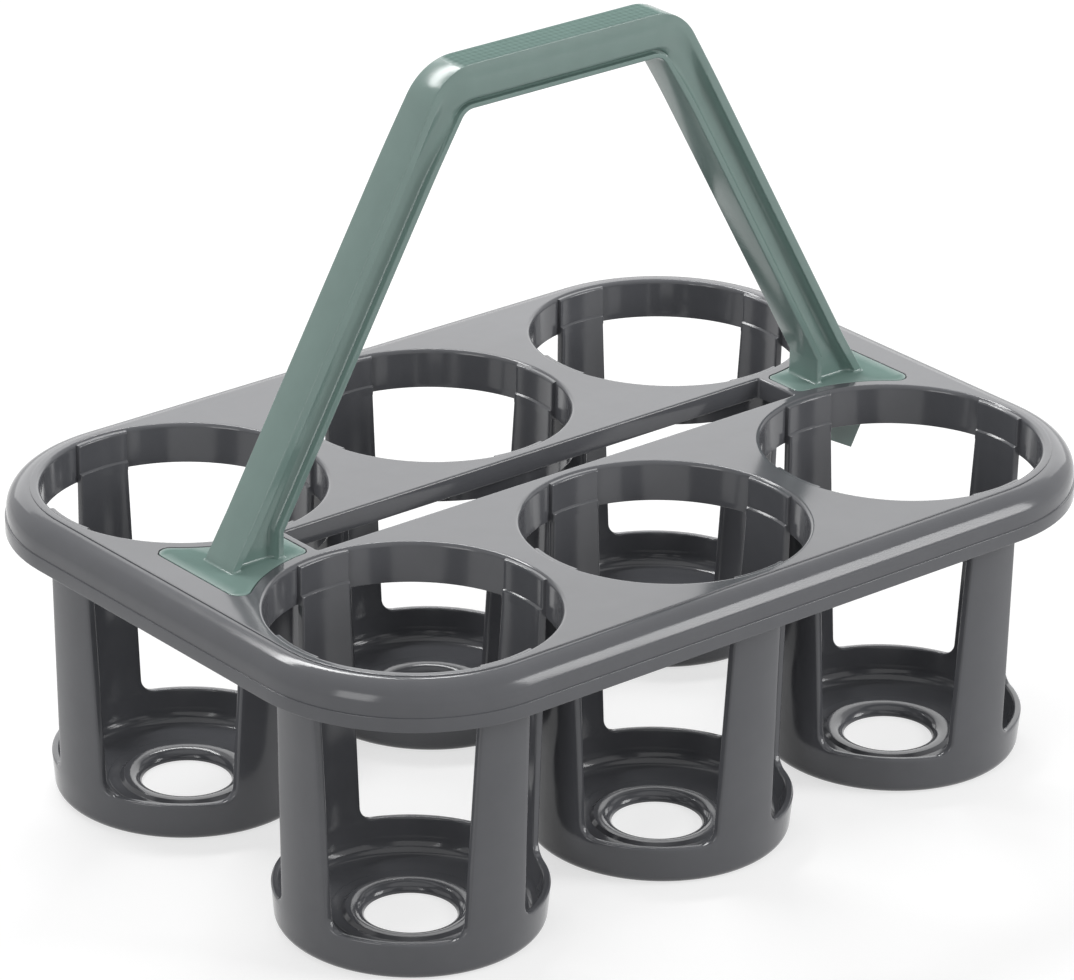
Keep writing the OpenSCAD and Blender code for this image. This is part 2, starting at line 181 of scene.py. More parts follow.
class CupSizes(bpy.types.PropertyGroup):
    """Sizes of a cup and its four posts."""

    height: length("Cup height", "Height of the closed cup", 14)
    rim_r: length("Rim radius", "Outer radius at the cup's rim", 46.2)
    in_r: length("Inner radius", "Radius inside the rim", 43.6)
    edge_r: length("Foot rounding", "Rounding of the outer edge at the floor", 4)
    fillet: length("Fillet", "Rounding between wall and bottom", 5)
    rim_edge: length("Rim edge", "Rounding of the rim and of the posts' edges", 0.7)
    draft: length("Draft", "How much the band narrows towards the floor", 0.8)
    floor_t: length("Bottom", "Thickness of the bottom", 2.2)
    drain_r: length("Drain", "Radius of the drain hole", 15.5)
    ring_h: length("Drain ring", "Height of the ring round the drain hole", 1)
    drain_edge: length("Drain edge", "Rounding of the drain hole's lower edge", 0.4)
    slope_w: length("Drain slope", "Width of that ring's rounded inner side", 4.6)
    ring_r: length("Drain ring radius", "Outer radius of that ring", 22.8)
    step_r: length("Middle radius", "Radius of the raised middle", 27)
    step_h: length("Middle height", "Height of the raised middle", 0.5)
    post_foot_w: length("Post foot", "Width of a post at the cup", 24)
    post_out_r: length("Post radius", "Outer radius of the posts under the collar", 49.4)
    window_r: length("Window corner", "Rounding between post and rim", 5)


class HandleSizes(bpy.types.PropertyGroup):
    """Sizes of the bow handle, its foot plates and its hooks."""

    height: length("Height", "Height of the grip's top above the deck", 154.5)
    lean: degrees("Lean", "Lean of the legs", 29.8)
    width: length("Width", "Width across the carrier", 14.8)
    depth: length("Depth", "From the outer to the inner face", 14)
    bend_r: length("Bend", "Outer radius of the bends", 20.5)
    flange_out: length("Outer flange", "Thickness of a leg's outer flange", 3.4)
    flange_in: length("Inner flange", "Thickness of a leg's inner flange", 2.4)
    web: length("Web", "Thickness of the web between the flanges", 8)
    edge_r: length("Edge", "Rounding of the long edges", 0.5)
    grip_d: length("Grip depth", "From the grip's top to its underside", 15.5)
    top_w: length("Grip top", "Width of the flat along the grip's top", 12.4)
    groove_in: length("Grip groove", "How far the groove along the grip's lower edge is drawn in", 2.8)
    groove_h: length("Groove height", "Height of the groove's inner wall", 1)
    lip_t: length("Grip lip", "Thickness of the lip under the groove", 1.6)
    lip_in: length("Lip inset", "How far the lip stands in from the grip's sides", 0.6)
    face_d: length("Grip face", "Depth at which the grip is widest", 9)
    blend_l: length("Blend", "Length over which a leg fills out into the grip", 26)
    foot_l: length("Plate length", "Length of a foot plate", 40.5)
    foot_start: length("Plate start", "From the end pockets' centre line to a plate", 1)
    foot_edge: length("Plate margin", "Deck left between a plate and a pocket", 5)
    foot_t: length("Plate thickness", "Thickness of a plate", 2)
    plate_edge: length("Plate edge", "Rounding of a plate's upper edge", 0.25)
    foot_r: length("Plate outer corner", "Rounding of a plate's outer corners", 4)
    foot_tip_r: length("Plate inner corner", "Rounding of a plate's inner corners", 3)
    leg_set: length("Leg set", "From a leg's outer face to the plate's outer end", 9.8)
    heel_l: length("Heel", "Width of a leg where it meets the plate", 21.3)
    heel_fillet: length("Heel fillet", "Fillet between a leg and its plate", 0.9)
    fit_gap: length("Gap", "Gap round a plate and round a hook", 0.3)
    hook_wall: length("Hook wall", "Wall of a hook and of its socket", 2.2)
    barb_out: length("Barb", "How far the barb reaches past the hook", 4.2)
    barb_h: length("Barb height", "Height of the sloping barb", 14)
    barb_in: length("Barb slope", "How far the barb slopes in to its tip", 7.6)
    hook_rise: length("Hook rise", "Height that the hook's end climbs inwards", 9.5)


class FinishSettings(bpy.types.PropertyGroup):
    """Colours and gloss of the two mouldings."""

    basket: colour("Basket", "Anthracite of the basket", "#5F6064")
    handle: colour("Handle", "Sage green of the handle", "#7A918B")
    basket_roughness: number("Basket roughness", "How far the basket's gloss spreads", 0.13)
    handle_roughness: number("Handle roughness", "How far the handle's gloss spreads", 0.16)
    basket_specular: number("Basket specular", "Strength of the basket's gloss", 0.45)
    handle_specular: number("Handle specular", "Strength of the handle's gloss", 0.5)


class StageSettings(bpy.types.PropertyGroup):
    """Camera, floor and light."""

    azimuth: degrees("Azimuth", "Camera's turn about the carrier", -40.12)
    elevation: degrees("Elevation", "Camera's height as an angle", 24.21)
    roll: degrees("Roll", "Camera's roll", 0.96)
    distance: length("Distance", "From the camera to the deck's middle", 2005.1)
    offset_x: length("Offset right", "Camera's place to the right of its line", -2.99)
    offset_y: length("Offset up", "Camera's place above its line", -9.86)
    lens: number("Lens", "Focal length in millimetres", 197.05)
    floor: colour("Floor", "Paper of the floor", "#ACACAC")


def arc(centre, radius, start, end, steps):
    """Points centre + radius (cos a, sin a), where the angle a runs evenly from start to end, in degrees."""
    a = np.radians(np.linspace(start, end, steps + 1))
    return np.asarray(centre) + radius * np.stack([np.cos(a), np.sin(a)], axis=-1)


def turned(points, angle):
    """Points turned about the Z axis by an angle in degrees."""
    c, s = np.cos(np.radians(angle)), np.sin(np.radians(angle))
    return points @ np.array([[c, s, 0], [-s, c, 0], [0, 0, 1]])


def lifted(flat, z):
    """Points in the plane, given the height z."""
    return np.concatenate([flat, np.full(flat.shape[:-1] + (1,), z)], axis=-1)


def polar(radius, angle, z):
    """Points (radius cos angle, radius sin angle, z), with the three spread to one shape."""
    flat = radius * np.cos(angle), radius * np.sin(angle)
    return np.stack(np.broadcast_arrays(*flat, z), axis=-1)


class Shell:
    """Vertices and faces of one piece, gathered from grids and caps and joined where they meet."""

    def __init__(self):
        self.points = []
        self.faces = []
        self.count = 0

    def add(self, points, faces):
        """Adds points and the faces that index them."""
        points = np.asarray(points, float).reshape(-1, 3)
        self.points.append(points)
        self.faces += (np.asarray(faces) + self.count).tolist()
        self.count += len(points)

    def grid(self, points, round_columns=False):
        """Adds quads between neighbours in an array of rows and columns of points."""
        rows, columns = points.shape[:2]
        ids = np.arange(rows * columns).reshape(rows, columns)
        if round_columns:
            ids = np.concatenate([ids, ids[:, :1]], axis=1)
        quads = np.stack([ids[:-1, :-1], ids[:-1, 1:], ids[1:, 1:], ids[1:, :-1]], axis=-1)
        self.add(points, quads.reshape(-1, 4))

    def cap(self, loop):
        """Adds one flat face inside a loop of points."""
        self.add(loop, [np.arange(len(loop))])

    def sheet(self, outer, holes, z):
        """Adds a flat sheet at height z inside the outer loop and outside the holes.

        It is a constrained triangulation of all the loops. A triangle stays if its centre lies inside an
        odd number of loops, counted where a ray along X crosses their edges.
        """
        loops = [np.asarray(loop) / MM for loop in [outer, *holes]]
        sizes = [len(loop) for loop in loops]
        starts = np.cumsum([0] + sizes[:-1])
        edges = np.concatenate(
            [s + np.stack([np.arange(n), (np.arange(n) + 1) % n], axis=-1) for s, n in zip(starts, sizes)]
        )
        flat = np.concatenate(loops)
        found = delaunay_2d_cdt([Vector(p) for p in flat], edges.tolist(), [], 0, SHEET_DISTANCE)
        points, triangles = np.array(found[0]), np.array(found[2])
        centre = points[triangles].mean(axis=1)[:, None]
        a, b = flat[edges[:, 0]][None], flat[edges[:, 1]][None]
        spans = (a[..., 1] > centre[..., 1]) != (b[..., 1] > centre[..., 1])
        rise = np.where(spans, b[..., 1] - a[..., 1], 1)
        cross_x = a[..., 0] + (b[..., 0] - a[..., 0]) * (centre[..., 1] - a[..., 1]) / rise
        inside = (spans & (cross_x > centre[..., 0])).sum(axis=1) % 2 == 1
        self.add(lifted(points * MM, z), triangles[inside])

    def placed(self, move):
        """A copy of this shell moved by a vector."""
        copy = Shell()
        copy.points = [p + np.asarray(move) for p in self.points]
        copy.faces, copy.count = self.faces, self.count
        return copy

    def piece(self, name, material):
        """An object of this shell, with its points joined, its faces outwards and its sharp edges marked."""
        mesh = bpy.data.meshes.new(name)
        mesh.from_pydata(np.concatenate(self.points), [], self.faces)
        work = bmesh.new()
        work.from_mesh(mesh)
        bmesh.ops.remove_doubles(work, verts=work.verts, dist=JOIN_DISTANCE)
        bmesh.ops.dissolve_degenerate(work, edges=work.edges, dist=JOIN_DISTANCE)
        bmesh.ops.recalc_face_normals(work, faces=work.faces)
        work.to_mesh(mesh)
        work.free()
        mesh.shade_smooth()
        mesh.set_sharp_from_angle(angle=SHARP_ANGLE)
        mesh.materials.append(material)
        obj = bpy.data.objects.new(name, mesh)
        bpy.context.scene.collection.objects.link(obj)
        return obj


def carried(profile, half_x, half_y, steps=QUARTER_STEPS):
    """A profile of radius and height, carried round a rounded rectangle as one row for each of its points.

    A row is four quarter circles of that radius, about the corners of half_x by half_y.
    """
    a = np.radians(np.linspace(0, 90, steps + 1)) + np.radians([[0], [90], [180], [270]])
    corners = np.array([[half_x, half_y], [-half_x, half_y], [-half_x, -half_y], [half_x, -half_y]])
    points = polar(profile[:, :1], a.ravel(), profile[:, 1:])
    points[..., :2] += np.repeat(corners, steps + 1, axis=0)
    return points


def deck_places(size):
    """The pockets' pitch along X, the rows' distance from the middle, and the half length of the slot."""
    pitch_x = 2 * size.pocket_r + size.web_x
    return pitch_x, size.pocket_r + size.web_y / 2, pitch_x - size.slot_end


def leg_places(size, handle):
    """Where the right leg's outer and inner faces meet its plate, along X."""
    pitch_x, _, _ = deck_places(size)
    outer = pitch_x + handle.foot_start + handle.foot_l - handle.leg_set
    return outer, outer - handle.heel_l


def foot_outline(size, handle, grow):
    """Outline of the right foot plate: arcs about the two pockets beside it and four rounded corners."""
    pitch_x, row_y, _ = deck_places(size)
    ring_r = size.pocket_r + handle.foot_edge - grow
    tip_r, far_r = handle.foot_tip_r + grow, handle.foot_r + grow
    tip_x = pitch_x + handle.foot_start - grow + tip_r
    far_x = pitch_x + handle.foot_start + handle.foot_l + grow - far_r
    ring_c = np.array([pitch_x, row_y])
    tip_c = np.array([tip_x, row_y - np.sqrt((ring_r + tip_r) ** 2 - (tip_x - pitch_x) ** 2)])
    far_c = np.array([far_x, row_y - np.sqrt((ring_r + far_r) ** 2 - (far_x - pitch_x) ** 2)])

    def heading(a, b):
        return np.degrees(np.arctan2(b[1] - a[1], b[0] - a[0]))

    half = np.concatenate(
        [
            arc(tip_c, tip_r, 180, heading(tip_c, ring_c), 10),
            arc(ring_c, ring_r, heading(ring_c, tip_c), heading(ring_c, far_c), 28)[1:-1],
            arc(far_c, far_r, heading(far_c, ring_c), 0, 10),
        ]
    )
    return np.concatenate([half, half[::-1] * [1, -1]])


def rim_profile(size):
    """The rim from the deck over the shoulder, down the skirt and its band, and up inside to the deck."""
    edge = size.pocket_r + size.rim_w
    wall_x, low = edge - size.band_out, size.deck_step + size.shoulder_r
    top_x, e = wall_x - size.shoulder_r, size.edge_r
    in_r = size.shoulder_r - size.wall + size.deck_step
    band_z, in_x = -(size.skirt_h - size.band_h), wall_x - size.wall
    fine = e / 2
    return np.concatenate(
        [
            [[top_x - 2 * e, 0]],
            arc([top_x - fine / 2, -fine / 2], fine / 2, 90, 0, 2),
            [[top_x, -size.deck_step]],
            arc([top_x, -low], size.shoulder_r, 90, 0, 16)[1:],
            [[wall_x, band_z + fine / 2]],
            arc([edge - fine, band_z - fine], fine, 90, 0, 4),
            arc([edge - e, -size.skirt_h + e], e, 0, -90, ROUNDING_STEPS),
            arc([in_x + fine, -size.skirt_h + fine], fine, 270, 180, FINE_STEPS),
            arc([in_x - in_r, -size.wall - in_r], in_r, 0, 90, 10),
        ]
    )


def plain_radius(size, z):
    """Radius of a pocket's wall at a depth z: upright, with a rounding at the lip and the lower edge."""
    lip, e = size.lip_r, size.edge_r
    up = np.clip(z + lip, 0, lip)
    down = np.clip(-z - (size.collar_h - e), 0, e)
    return size.pocket_r + (lip - np.sqrt(lip**2 - up**2)) + (e - np.sqrt(e**2 - down**2))


def pocket_profile(size):
    """Radius and depth down a post's head, under the collar and up its outer face, and the plain radius.

    Both follow the same depths, so the side of a head is the flat strip between them.
    """
    lip, e, drop = size.lip_r, size.edge_r, size.head_drop
    head_in_r, post_in_r = size.pocket_r - size.head_in, size.pocket_r - size.post_in
    lip_end = 180 - np.degrees(np.arcsin((lip - drop) / lip))
    ledge = (size.post_in - size.head_in) / 2
    inner = np.concatenate(
        [
            [[size.pocket_r + lip + e, 0]],
            arc([size.pocket_r + lip, -lip], lip, 90, lip_end, 7),
            arc([head_in_r + size.head_r, -drop - size.head_r], size.head_r, 90, 180, 8),
            [[head_in_r, -lip], [head_in_r, -size.ledge_z + e / 2], [head_in_r, -size.ledge_z]],
            [[post_in_r + e / 4, -size.ledge_z - ledge + e / 8], [post_in_r, -size.ledge_z - ledge - e / 4]],
            [[post_in_r, -size.ledge_z - 2 * ledge]],
            [[post_in_r, z] for z in arc([0, -size.collar_h + e], e, 0, -90, ROUNDING_STEPS)[:, 1]],
        ]
    )
    out_r = size.pocket_r + size.collar_wall
    outer = np.concatenate(
        [
            arc([out_r - e, -size.collar_h + e], e, 270, 360, FINE_STEPS),
            arc([out_r + e, -size.wall - e], e, 180, 90, FINE_STEPS),
        ]
    )
    plain = np.concatenate([plain_radius(size, inner[:, 1]), outer[:, 0]])
    plain[0] = inner[0, 0]
    return np.concatenate([inner, outer]), plain


def head_columns(size):
    """Angles round a pocket, and how far a head stands out at each, from 0 on the wall to 1 on its face.

    A head's side is one step at one angle, then a quarter circle to its face.
    """
    half = np.arcsin(size.head_w / 2 / (size.pocket_r - size.post_in))
    corner = np.radians(np.linspace(90, 0, ROUNDING_STEPS))
    back = size.edge_r * (1 - np.cos(corner)) / size.pocket_r
    share = 1 - size.edge_r / size.head_in * (1 - np.sin(corner))
    face = np.linspace(0, half - back[0], 9)[:-1]
    plain = np.linspace(half, np.pi / 4, 18)
    angle = np.concatenate([face, half - back, plain])
    depth = np.concatenate([np.ones(len(face)), share, np.zeros(len(plain))])
    angle = np.concatenate([angle, np.pi / 2 - angle[-2:0:-1]])
    depth = np.concatenate([depth, depth[-2:0:-1]])
    turns = np.radians([[0], [90], [180], [270]])
    return (angle + turns).ravel(), np.tile(depth, 4)


def pocket_grid(size):
    """A pocket's lip, inner wall with four heads, lower edge and outer wall.

    Each point's radius goes from the plain wall's to the head's by its column's share.
    """
    profile, plain = pocket_profile(size)
    angle, share = head_columns(size)
    radius = plain[:, None] + (profile[:, 0] - plain)[:, None] * share
    return polar(radius, angle, profile[:, 1:])


def edge_loops(pocket):
    """A pocket's upper and lower edge in the plane, to a nanometre, by angle and with no point twice."""
    loops = np.unique(pocket[[0, -1], :, :2].round(9), axis=1)
    return loops[:, np.argsort(np.arctan2(loops[0, :, 1], loops[0, :, 0]))]


def slot_grid(size):
    """The slot's rounded edge and the wall that hangs round it."""
    _, _, slot_half = deck_places(size)
    e, r = size.edge_r, size.slot_r
    profile = np.concatenate(
        [
            [[2 * r + e, 0]],
            arc([2 * r, -r], r, 90, 180, ROUNDING_STEPS),
            arc([r + e, -size.slot_h + e], e, 180, 270, FINE_STEPS),
            arc([r + size.slot_wall - e, -size.slot_h + e], e, 270, 360, FINE_STEPS),
            [[r + size.slot_wall, -size.wall]],
        ]
    )
    return carried(profile, slot_half - r, size.slot_w / 2 - r, 4)


def socket_grid(size, handle):
    """The right plate's socket: a square tube, down its inside and up its outside."""
    leg_x, heel_x = leg_places(size, handle)
    gap, wall, top = 2 * handle.fit_gap, handle.hook_wall, -handle.foot_t
    profile = np.array([[0, top], [0, -size.collar_h], [wall, -size.collar_h], [wall, top - size.wall]])
    x0, x1 = heel_x - gap, leg_x + gap
    return carried(profile, (x1 - x0) / 2, handle.width / 2 + handle.fit_gap, 1) + [(x0 + x1) / 2, 0, 0]


def deck_shell(size, handle):
    """The whole deck: rim, pockets, slot and plate recesses, joined by flat sheets above and below."""
    pitch_x, row_y, _ = deck_places(size)
    e, shell = size.edge_r, Shell()
    rim = carried(rim_profile(size), pitch_x, row_y)
    shell.grid(rim, round_columns=True)

    pocket = pocket_grid(size)
    rings = edge_loops(pocket)
    centres = [np.array([ix * pitch_x, iy * row_y, 0]) for ix in COLUMNS.values() for iy in ROWS.values()]
    for centre in centres:
        shell.grid(pocket + centre, round_columns=True)
    slot, socket = slot_grid(size), socket_grid(size, handle)
    shell.grid(slot, round_columns=True)

    fine, seat_z = e / 2, -handle.foot_t
    grown = (handle.fit_gap + fine, handle.fit_gap, handle.fit_gap + e)
    seat_top, seat_in, seat_out = (foot_outline(size, handle, grow) for grow in grown)
    inside = [(seat_top, 0), ((seat_top + seat_in) / 2, -fine / 3), (seat_in, -fine), (seat_in, seat_z)]
    outside = [(seat_out, seat_z - size.wall), (seat_out, -size.wall)]
    seats = []
    for side in (1, -1):
        mirror = np.array([side, 1, 1])
        for rows in (inside, outside):
            shell.grid(np.stack([lifted(flat, z) for flat, z in rows]) * mirror, round_columns=True)
        shell.grid(socket * mirror, round_columns=True)
        holes = (socket[[0, -1]] * mirror)[..., :2]
        shell.sheet(seat_in * mirror[:2], [distinct(holes[0])], seat_z)
        shell.sheet(seat_out * mirror[:2], [distinct(holes[1])], seat_z - size.wall)
        seats.append((seat_top * mirror[:2], seat_out * mirror[:2]))

    for end, ring, z in ((0, 0, 0), (-1, 1, -size.wall)):
        holes = [rings[ring] + c[:2] for c in centres] + [slot[end, :, :2]] + [seat[ring] for seat in seats]
        shell.sheet(rim[end, :, :2], holes, z)
    return shell.placed([0, 0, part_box("deck")[1].z])


def distinct(loop):
    """A loop without points that repeat the one before."""
    away = np.abs(loop - np.roll(loop, 1, axis=0)).max(axis=1) > JOIN_DISTANCE
    return loop[away]


def cup_foot(cup):
    """Radius and height from the outer wall round the foot, over the bottom and up the inner fillet.

    The ring round the drain hole rises from it as a quarter ellipse.
    """
    mid_z, low_r = cup.floor_t + cup.step_h, cup.in_r - (cup.rim_r - cup.in_r) / 2
    soft, under = cup.step_h / 2, cup.drain_edge
    a = np.radians(np.linspace(0, 90, 15))
    rise = mid_z + cup.ring_h - under
    slope = np.stack([cup.drain_r + cup.slope_w * (1 - np.cos(a)), under + rise * np.sin(a)], axis=-1)
    return np.concatenate(
        [
            arc([cup.rim_r - cup.draft - cup.edge_r, cup.edge_r], cup.edge_r, 0, -90, 8),
            arc([cup.drain_r + under, under], under, 270, 180, FINE_STEPS),
            slope[1:],
            arc([cup.ring_r - cup.ring_h - soft, mid_z + cup.ring_h - soft], soft, 90, 45, FINE_STEPS),
            arc([cup.ring_r + soft, mid_z + soft], soft, 225, 270, FINE_STEPS),
            arc([cup.step_r - soft, mid_z - soft], soft, 90, 0, 4),
            arc([low_r - cup.fillet, cup.floor_t + cup.fillet], cup.fillet, 270, 360, 10),
        ]
    )


def post_shell(deck, cup):
    """A cup with its four posts.

    One eighth is worked out and mirrored. Its wall is a sheet of constant sides: the window's edge is
    carried inwards to a spine down the post's middle and round the foot, on the inner and the outer cone
    alike, and a rounded strip joins the two along the window's edge.
    """
    top_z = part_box("deck")[1].z - deck.collar_h
    rim_z = cup.height - cup.rim_edge
    cones = {
        "out": (
            [cup.edge_r, rim_z, top_z],
            [cup.rim_r - cup.draft, cup.rim_r, cup.post_out_r],
        ),
        "in": (
            [cup.floor_t + cup.fillet, rim_z, top_z],
            [cup.in_r - (cup.rim_r - cup.in_r) / 2, cup.in_r, deck.pocket_r - deck.post_in],
        ),
    }

    def radius(side, z):
        return np.interp(z, *cones[side])

    flare = np.array([cup.post_foot_w / 2 + cup.window_r, cup.height + cup.window_r])
    # Steps down a post's side, round the window's corner and along the rim, and rows to the spine
    side_n, arc_n, rim_n, wall_n = 20, 12, 12, 8
    spine_n = arc_n // 2
    share = np.linspace(0, 1, side_n + 1)[:-1]

    def edge(inset):
        """The window's edge, moved into the wall by inset, as sideways place and height."""
        start = np.array([deck.head_w / 2 - inset, top_z])
        end = np.array([cup.post_foot_w / 2 - inset, flare[1]])
        side = start + (end - start) * share[:, None]
        return np.concatenate([side, arc(flare, cup.window_r + inset, 180, 270, arc_n)])

    rim_share = np.linspace(0, 1, rim_n + 1)[1:]

    def on_cone(side, inset):
        """Angle and height of each column of the window's edge on one cone."""
        y, z = edge(inset).T
        angle = np.arcsin(y / radius(side, z))
        rim = angle[-1] + (np.pi / 4 - angle[-1]) * rim_share
        return np.concatenate([angle, rim]), np.concatenate([z, np.full(rim_n, cup.height - inset)])

    def sheet(side):
        """The wall between the window's edge and the spine, as rows of points on a cone."""
        angle, z = on_cone(side, cup.rim_edge)
        low = cones[side][0][0]
        bottom = np.linspace(0, angle[side_n + arc_n], arc_n - spine_n + 1)[1:]
        spine_angle = np.concatenate([np.zeros(side_n + spine_n + 1), bottom, angle[side_n + arc_n + 1 :]])
        down = np.linspace(flare[1], low, spine_n + 1)
        spine_z = np.concatenate([z[:side_n], down, np.full(len(bottom) + rim_n, low)])
        t = np.linspace(0, 1, wall_n)[:, None]
        a, h = angle + (spine_angle - angle) * t, z + (spine_z - z) * t
        return polar(radius(side, h), a, h)

    phi = np.radians(np.linspace(0, 90, ROUNDING_STEPS))
    strip = []
    for side, order in (("in", 1), ("out", -1)):
        rows = []
        for inset, deep in zip(cup.rim_edge * (1 - np.sin(phi)), cup.rim_edge * (1 - np.cos(phi))):
            a_in, z = on_cone("in", inset)
            a_out, _ = on_cone("out", inset)
            r_in, r_out = radius("in", z), radius("out", z)
            t = deep / (r_out - r_in)
            t = t if side == "in" else 1 - t
            near, far = polar(r_in, a_in, z), polar(r_out, a_out, z)
            rows.append(near + (far - near) * t[:, None])
        strip += rows[::order]
    strip = np.stack(strip)

    inner, outer = sheet("in"), sheet("out")
    foot = cup_foot(cup)
    first = side_n + spine_n
    start, end = (np.arctan2(s[-1, first:, 1], s[-1, first:, 0]) for s in (outer, inner))
    t = np.linspace(0, 1, len(foot))[:, None]
    a = start + (end - start) * t
    base = polar(foot[:, :1], a, foot[:, 1:])
    top = np.concatenate([inner[::-1, 0], strip[1:-1, 0], outer[:, 0]])

    shell = Shell()
    for turn in (0, 90, 180, 270):
        for mirror in ([1, 1, 1], [1, -1, 1]):
            for part in (strip, inner, outer, base):
                shell.grid(turned(part * mirror, turn))
            shell.cap(turned(top * mirror, turn))
    return shell


def leg_half_section(handle, edge_n, blend_n):
    """Half of a leg's section, as distance from its outer face and middle: two flanges and a hollow web."""
    hw, e, web = handle.width / 2, handle.edge_r, handle.web / 2
    r = min((handle.depth - handle.flange_out - handle.flange_in) / 2, hw - web - e)
    far = handle.depth - handle.flange_in
    return np.concatenate(
        [
            arc([e, hw - e], e, 180, 90, edge_n),
            [[handle.flange_out - e / 2, hw], [handle.flange_out, hw - e / 2]],
            arc([handle.flange_out + r, web + r], r, 180, 270, blend_n),
            arc([far - r, web + r], r, 270, 360, blend_n),
            [[far, hw - e / 2], [far + e / 2, hw]],
            arc([handle.depth - e, hw - e], e, 90, 0, edge_n),
        ]
    )


def grip_half_section(handle, edge_n, blend_n):
    """Half of the grip's section, from its top down to the lip under its groove.

    Its face is a sine curve down to its widest depth, and a quarter ellipse from there into the groove.
    """
    hw, top, e = handle.width / 2, handle.top_w / 2, handle.edge_r / 2
    groove, lip, edge = hw - handle.groove_in, hw - handle.lip_in, handle.edge_r
    lip_d = handle.depth - handle.lip_t
    groove_d = lip_d - handle.groove_h
    upper, lower = blend_n + 3, blend_n + 1
    t = np.arange(1, upper + 1) / upper
    a = np.radians(90) * np.arange(1, lower + 1) / lower
    face = np.stack([e + (handle.face_d - e) * t, top + (hw - top) * np.sin(np.pi / 2 * t)], axis=-1)
    below = np.stack(
        [handle.face_d + (groove_d - handle.face_d) * np.sin(a), groove + (hw - groove) * np.cos(a)], axis=-1
    )
    wall = [[lip_d, groove], [lip_d, lip - edge / 2]]
    under = arc([handle.depth - edge, lip - edge], edge, 90, 0, edge_n)
    return np.concatenate([arc([e, top - e], e, 180, 90, edge_n), face, below, wall, under])


def smooth_step(t):
    """The smooth step t^2 (3 - 2 t), level at 0 and at 1."""
    return t * t * (3 - 2 * t)


def bow_grid(deck, handle):
    """Legs and grip as one skin, rows along the handle and columns round its section.

    The section goes from the leg's to the grip's with a smooth step over the blend and the bend. Columns of
    the outer half keep their distance from the outer face, the others from the inner face.
    """
    # Steps of a section's edges and curves, and rows of the fillet, the heel, the leg, the blend and the bend
    edge_n, curve_n = 4, 8
    fillet_n, heel_n, leg_n, blend_n, bend_n = 6, 9, 12, 15, 21
    leg, grip = (section(handle, edge_n, curve_n) for section in (leg_half_section, grip_half_section))
    leg_x, heel_x = leg_places(deck, handle)
    lean, depth, bend_r = handle.lean, handle.depth, handle.bend_r
    along = np.array([-np.sin(lean), np.cos(lean)])
    inward = np.array([-np.cos(lean), -np.sin(lean)])
    start = np.array([leg_x, 0])
    heel_z = (handle.heel_l - depth / np.cos(lean)) / np.tan(lean)
    t_heel = (heel_z + depth * np.sin(lean)) / np.cos(lean)
    t_bend = (handle.height - bend_r + bend_r * np.sin(lean)) / np.cos(lean)
    bend_c = start + along * t_bend + bend_r * inward
    turn = np.pi / 2 - lean
    bend_share = bend_r * turn / (bend_r * turn + handle.blend_l)

    fillet, quarter = handle.heel_fillet, np.radians(np.linspace(0, 90, fillet_n))
    drop = np.concatenate([[-handle.foot_t / 2], fillet * (1 - np.cos(quarter))])
    flare = np.concatenate([[fillet], fillet * (1 - np.sin(quarter))])
    low = np.array([[leg_x, z] for z in drop])
    low_in = low - [handle.heel_l, 0]
    t = np.linspace(0, 1, heel_n)[1:, None]
    outer = [low, low[-1] * (1 - t) + (start + along * t_heel) * t]
    inner = [low_in, low_in[-1] * (1 - t) + np.array([heel_x, heel_z]) * t]
    blend = [np.zeros(len(low) + len(t))]
    straight = t_bend - handle.blend_l
    plain, filling = np.linspace(t_heel, straight, leg_n)[1:-1], np.linspace(straight, t_bend, blend_n)[:-1]
    s = np.concatenate([plain, filling])[:, None]
    blend.append(smooth_step((1 - bend_share) * np.clip((s[:, 0] - straight) / handle.blend_l, 0, 1)))
    outer.append(start + along * s)
    inner.append(outer[-1] + (depth + (handle.grip_d - depth) * blend[-1][:, None]) * inward)
    a = np.linspace(lean, np.pi / 2, bend_n)[:, None]
    spoke = np.concatenate([np.cos(a), np.sin(a)], axis=1)
    blend.append(smooth_step(1 - bend_share + bend_share * np.linspace(0, 1, bend_n)))
    outer.append(bend_c + bend_r * spoke)
    inner.append(bend_c + (bend_r - depth - (handle.grip_d - depth) * blend[-1][:, None]) * spoke)
    outer, inner, blend = np.concatenate(outer), np.concatenate(inner), np.concatenate(blend)
    grow = np.zeros(len(outer))
    grow[: len(flare)] = flare

    half = leg + (grip - leg) * blend[:, None, None]
    section = np.concatenate([half, half[:, ::-1] * [1, -1]], axis=1)
    step = np.roll(section, -1, axis=1) - np.roll(section, 1, axis=1)
    normal = np.stack([-step[..., 1], step[..., 0]], axis=-1)
    normal /= np.linalg.norm(normal, axis=-1, keepdims=True)
    section = section + normal * grow[:, None, None]
    reach = np.linalg.norm(inner - outer, axis=1)
    u = (inner - outer) / reach[:, None]
    column = np.arange(section.shape[1])
    near_outer = (column < len(column) / 4) | (column >= 3 * len(column) / 4)
    d = np.where(near_outer, section[..., 0], reach[:, None] - depth + section[..., 0])
    place = outer[:, None] + u[:, None] * d[..., None]
    right = np.stack([place[..., 0], section[..., 1], place[..., 1]], axis=-1)
    return np.concatenate([right, right[::-1] * [-1, 1, 1]])


